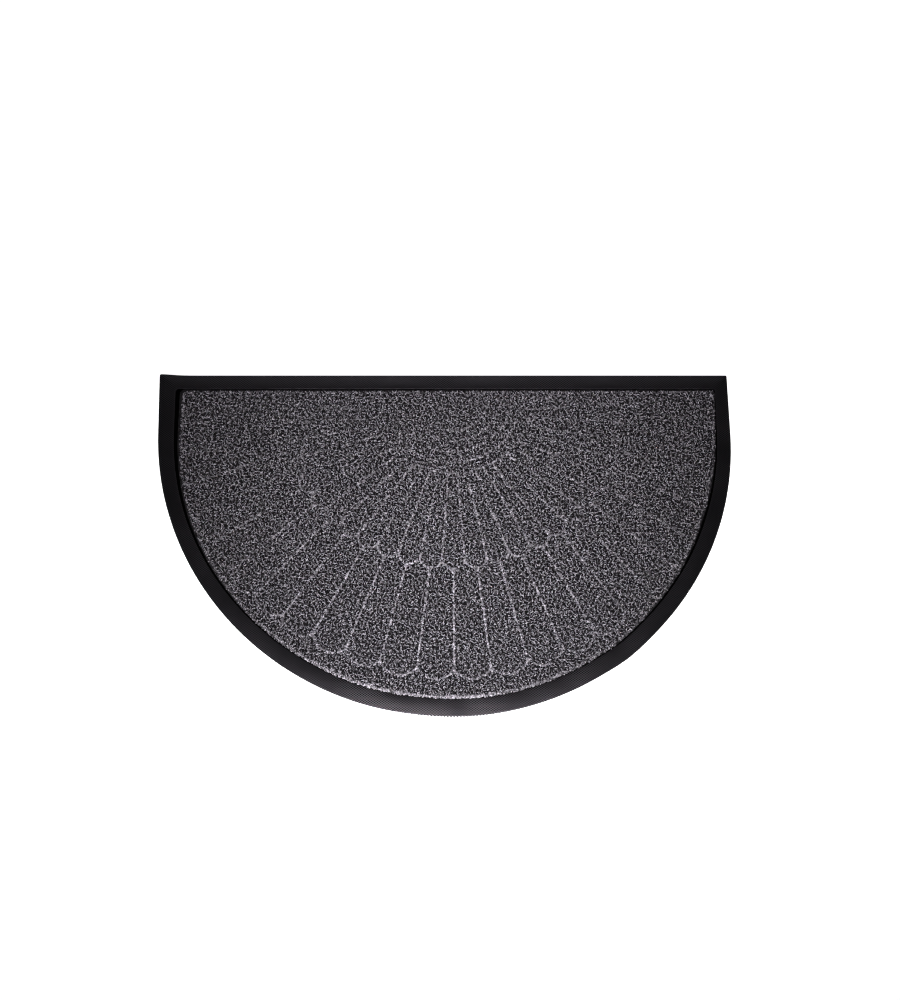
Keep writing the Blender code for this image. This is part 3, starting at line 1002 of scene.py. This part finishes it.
class DOORMAT_OT_pile_curls(bpy.types.Operator):
    """Scatters the mixed curls over the pile, lower where the fan is pressed, in four shades"""

    bl_idname = "doormat.pile_curls"
    bl_label = "Pile curls"

    def execute(self, context):
        settings = context.scene.doormat_pile
        random = np.random.default_rng(settings.seed)
        outline = placed(CURL_EDGE, 0.0, WALK_STEPS)
        low, high = outline.min(axis=0), outline.max(axis=0)
        across, down = settings.pitch, settings.pitch * math.sqrt(3) / 2
        columns, rows = int((high[0] - low[0]) / across) + 2, int((high[1] - low[1]) / down) + 2
        column, row = np.meshgrid(np.arange(columns), np.arange(rows))
        x = low[0] + (column + 0.5 * (row % 2)) * across
        y = low[1] + row * down
        card = dealt(column.ravel(), row.ravel(), random)
        points = np.stack([x.ravel(), y.ravel()], axis=1)
        points += random.uniform(-CURL_SCATTER, CURL_SCATTER, points.shape) * settings.pitch
        kept = inside(points, placed(CURL_EDGE, CURL_INSET, WALK_STEPS))
        points, card = points[kept], card[kept]
        count = len(points)
        edge_gap, _ = nearest(point_tree(outline), points)
        grooves, pressed = groove_tree(fan_lines())
        groove_gap, groove_at = nearest(grooves, points)
        firm_and_sheen = pressed[groove_at]
        press = firm_and_sheen * bell(groove_gap, PRESS_HALF_WIDTH)
        shoulder = 1 - smooth_share(edge_gap, 0.0, SHOULDER)
        rise = settings.top - settings.ground
        height = rise * random.uniform(*CURL_RISE, count) * (1 - PRESS_FLATTENS * press) / CURL_TOP
        foot = settings.ground - SHOULDER_DROP * shoulder - PRESS_SINKS * press
        level = np.array(CARD_LEVELS)[card] + random.normal(0.0, CARD_SPREAD, count)
        # Painted sheen along the pressed lines and at their corners
        level += LINE_PAINTED_SHEEN * firm_and_sheen * bell(groove_gap, LINE_HALF_WIDTH)
        # Painted shade beside the pressed lines
        level -= BESIDE_PAINTED_SHADE * firm_and_sheen * bell(groove_gap - BESIDE_AT, BESIDE_HALF_WIDTH)
        corner_gap, _ = nearest(point_tree(corners()), points)
        level += CORNER_PAINTED_SHEEN * firm_and_sheen * bell(corner_gap, CORNER_HALF_WIDTH)
        curls = Curls(
            places=np.column_stack([points, foot]),
            turns=random.uniform(0, 2 * math.pi, count),
            sizes=np.stack(
                [
                    settings.length * random.uniform(*CURL_STRETCH, count),
                    settings.width * random.uniform(*CURL_STRETCH, count),
                    height,
                ],
                axis=1,
            ),
            tilts=random.normal(0.0, CURL_TILT, count),
            shades=shade_of(level),
            kinds=random.integers(0, len(CURL_KINDS), count),
        )
        order = np.argsort(curls.shades, kind="stable")
        models, fibre = model_curls(), crimped_fibre(settings)
        for name, chosen in zip(CURL_NAMES, np.array_split(order, len(CURL_NAMES))):
            piece = joined_curls(f"pile_curls_{name}", curls.only(chosen), models)
            finish_piece(piece, fibre)
        return {"FINISHED"}


class DOORMAT_OT_pressed_fan(bpy.types.Operator):
    """Lays flattened curls along the pressed lines of the fan, paled with painted sheen where the press is
    firmest
    """

    bl_idname = "doormat.pressed_fan"
    bl_label = "Pressed fan"

    def execute(self, context):
        settings = context.scene.doormat_pile
        random = np.random.default_rng(settings.seed + 1)
        walks = [walked(line, LINE_PITCH) for line in fan_lines() + corner_strokes()]
        points = np.concatenate([points for points, _ in walks])
        along = np.concatenate([along for _, along in walks])
        firm_and_sheen = press_and_sheen_share(points)
        kept = inside(points, placed(PILE_EDGE, GROOVE_CLEAR, WALK_STEPS)) & (firm_and_sheen > LEAST_FIRM)
        clear = patches(points, CLEAR_PATCH, settings.seed)
        chance = KEPT_UNCLEAR + (1 - KEPT_UNCLEAR) * clear
        chance *= KEPT_SOFT + (1 - KEPT_SOFT) * np.sqrt(firm_and_sheen)
        kept &= random.uniform(0, 1, len(points)) < chance
        points, along, firm_and_sheen, clear = points[kept], along[kept], firm_and_sheen[kept], clear[kept]
        count = len(points)
        points = points + random.normal(0.0, LINE_SCATTER, points.shape)
        # Painted sheen that grows with how firmly the line is pressed
        level = LINE_LEVEL + (LINE_FIRM_SHEEN + LINE_CLEAR_SHEEN * clear) * firm_and_sheen + random.normal(0.0, LINE_SPREAD, count)
        curls = Curls(
            places=np.column_stack([points, np.full(count, settings.ground - LINE_SINK)]),
            turns=np.arctan2(along[:, 1], along[:, 0]) + random.normal(0.0, LINE_TURN, count),
            sizes=drawn_sizes(random, LINE_SIZES, count),
            tilts=random.normal(0.0, LINE_TILT, count),
            shades=shade_of(level),
            kinds=random.integers(0, len(CURL_KINDS), count),
        )
        piece = joined_curls("pressed_fan_curls", curls, model_curls())
        finish_piece(piece, crimped_fibre(settings))
        return {"FINISHED"}


class DOORMAT_OT_pile_rim(bpy.types.Operator):
    bl_idname = "doormat.pile_rim"
    bl_label = "Pile rim"

    def execute(self, context):
        settings = context.scene.doormat_pile
        random = np.random.default_rng(settings.seed + 2)
        places, turns, tilts, levels = [], [], [], []
        for row in named_rows(RIM_ROWS, RIM_COLUMNS):
            line = placed(CURL_EDGE, row["inset"], WALK_STEPS)
            points, along = walked(np.vstack([line, line[:1]]), RIM_PITCH)
            out = np.stack([along[:, 1], -along[:, 0]], axis=1)
            count = len(points)
            painted_light_share = np.clip(out @ np.array(LIT_SIDE), 0.0, 1.0) ** LIT_POWER
            backing = np.clip(out[:, 1], 0.0, 1.0)
            points = points - out * (RIM_BACK * backing)[:, None]
            points = points + random.normal(0.0, RIM_SCATTER, points.shape)
            places.append(np.column_stack([points, row["height"] + random.normal(0.0, RIM_RISE, count)]))
            turns.append(np.arctan2(out[:, 1], out[:, 0]) + random.normal(0.0, RIM_TURN, count))
            tilts.append(np.radians(row["tip_deg"]) + random.normal(0.0, RIM_TILT, count))
            # Painted light on the curls that face the front light, and painted shade on those at the back
            base = RIM_LEVEL + row["lit"] * painted_light_share - row["shaded"] * backing
            levels.append(base + random.normal(0.0, RIM_SPREAD, count))
        count = sum(len(p) for p in places)
        curls = Curls(
            places=np.concatenate(places),
            turns=np.concatenate(turns),
            sizes=drawn_sizes(random, RIM_SIZES, count),
            tilts=np.concatenate(tilts),
            shades=shade_of(np.concatenate(levels)),
            kinds=random.integers(0, RIM_KINDS, count),
        )
        rim = joined_curls("pile_rim_curls", curls, model_curls())
        finish_piece(rim, crimped_fibre(settings))
        outline = placed(PILE_EDGE)
        return {"FINISHED"}


class DOORMAT_OT_studio(bpy.types.Operator):
    """Sets the pale floor, the soft lights and the camera at the photograph's angle"""

    bl_idname = "doormat.studio"
    bl_label = "Studio"

    def execute(self, context):
        settings = context.scene.doormat_studio
        deselect_everything()
        bpy.ops.mesh.primitive_plane_add(size=FLOOR_SIZE, location=(0.0, 0.0, -FLOOR_DROP))
        floor = context.object
        floor.name = "studio_floor"
        floor.data.materials.append(white_sweep(settings))
        front = self.add_light("front_softbox", settings.front_watts, FRONT_PLACE, FRONT_AIM, FRONT_SIZE)
        front.spread = settings.front_spread
        self.add_light("high_softbox", settings.high_watts, HIGH_PLACE, HIGH_AIM, HIGH_SIZE)
        self.add_light("back_softbox", settings.back_watts, BACK_PLACE, BACK_AIM, BACK_SIZE)
        self.add_sky(context, settings)
        self.add_camera(context)
        context.scene.view_settings.view_transform = "Standard"
        context.scene.cycles.filter_width = 1.2
        context.scene.cycles.denoising_prefilter = "NONE"
        return {"FINISHED"}

    def add_light(self, name, watts, place, aim, size):
        bpy.ops.object.light_add(type="AREA", location=place)
        light = bpy.context.object
        light.name = name
        light.data.shape = "RECTANGLE"
        light.data.size, light.data.size_y = size
        light.data.energy = watts
        light.rotation_euler = (Vector(aim) - Vector(place)).to_track_quat("-Z", "Y").to_euler()
        return light.data

    def add_sky(self, context, settings):
        """An even, dim light from above, over a lit backdrop that fades out upwards."""
        world = bpy.data.worlds.new("studio_sky")
        world.use_nodes = True
        tree = world.node_tree
        direction = add_node(tree, "ShaderNodeTexCoord")
        axes = add_node(tree, "ShaderNodeSeparateXYZ", {0: direction.outputs["Generated"]})
        fade = add_node(
            tree,
            "ShaderNodeMapRange",
            {0: axes.outputs[2], "From Min": 0.0, "From Max": BACKDROP_RISE}
            | {"To Min": settings.backdrop, "To Max": settings.sky},
            interpolation_type="SMOOTHSTEP",
        )
        back = tree.nodes["Background"]
        back.inputs["Color"].default_value = linear("FFFFFF")
        link(tree, fade.outputs[0], back, "Strength")
        context.scene.world = world

    def add_camera(self, context):
        away = Vector((0.0, -math.sin(CAMERA_TILT), math.cos(CAMERA_TILT)))
        place = Vector(CAMERA_AIM) + away * CAMERA_DISTANCE
        bpy.ops.object.camera_add(location=place, rotation=(CAMERA_TILT, 0.0, 0.0))
        camera = context.object
        camera.name = "photo_camera"
        camera.data.sensor_width = CAMERA_SENSOR_MM
        camera.data.lens = CAMERA_LENS_MM
        camera.data.shift_x, camera.data.shift_y = CAMERA_SHIFT
        camera.data.clip_start = CAMERA_NEAR
        context.scene.camera = camera


class VIEW3D_PT_doormat(bpy.types.Panel):
    """Lists the doormat's pieces and their settings"""

    bl_label = "Half-round doormat"
    bl_space_type = "VIEW_3D"
    bl_region_type = "UI"
    bl_category = "Doormat"

    def draw(self, context):
        for group in (context.scene.doormat_tray, context.scene.doormat_pile, context.scene.doormat_studio):
            box = self.layout.box()
            for name in group.__annotations__:
                box.prop(group, name)
        for operator in OPERATORS:
            self.layout.operator(operator.bl_idname)


OPERATORS = (
    DOORMAT_OT_rubber_tray,
    DOORMAT_OT_pile_ground,
    DOORMAT_OT_pile_curls,
    DOORMAT_OT_pressed_fan,
    DOORMAT_OT_pile_rim,
    DOORMAT_OT_studio,
)
CLASSES = (TraySettings, PileSettings, StudioSettings) + OPERATORS + (VIEW3D_PT_doormat,)


def register():
    for cls in CLASSES:
        bpy.utils.register_class(cls)
    bpy.types.Scene.doormat_tray = PointerProperty(type=TraySettings)
    bpy.types.Scene.doormat_pile = PointerProperty(type=PileSettings)
    bpy.types.Scene.doormat_studio = PointerProperty(type=StudioSettings)


def unregister():
    del bpy.types.Scene.doormat_tray
    del bpy.types.Scene.doormat_pile
    del bpy.types.Scene.doormat_studio
    for cls in reversed(CLASSES):
        bpy.utils.unregister_class(cls)


def main():
    register()
    bpy.ops.doormat.rubber_tray()
    bpy.ops.doormat.pile_ground()
    bpy.ops.doormat.pile_curls()
    bpy.ops.doormat.pressed_fan()
    bpy.ops.doormat.pile_rim()
    bpy.ops.doormat.studio()


if __name__ == "__main__":
    main()
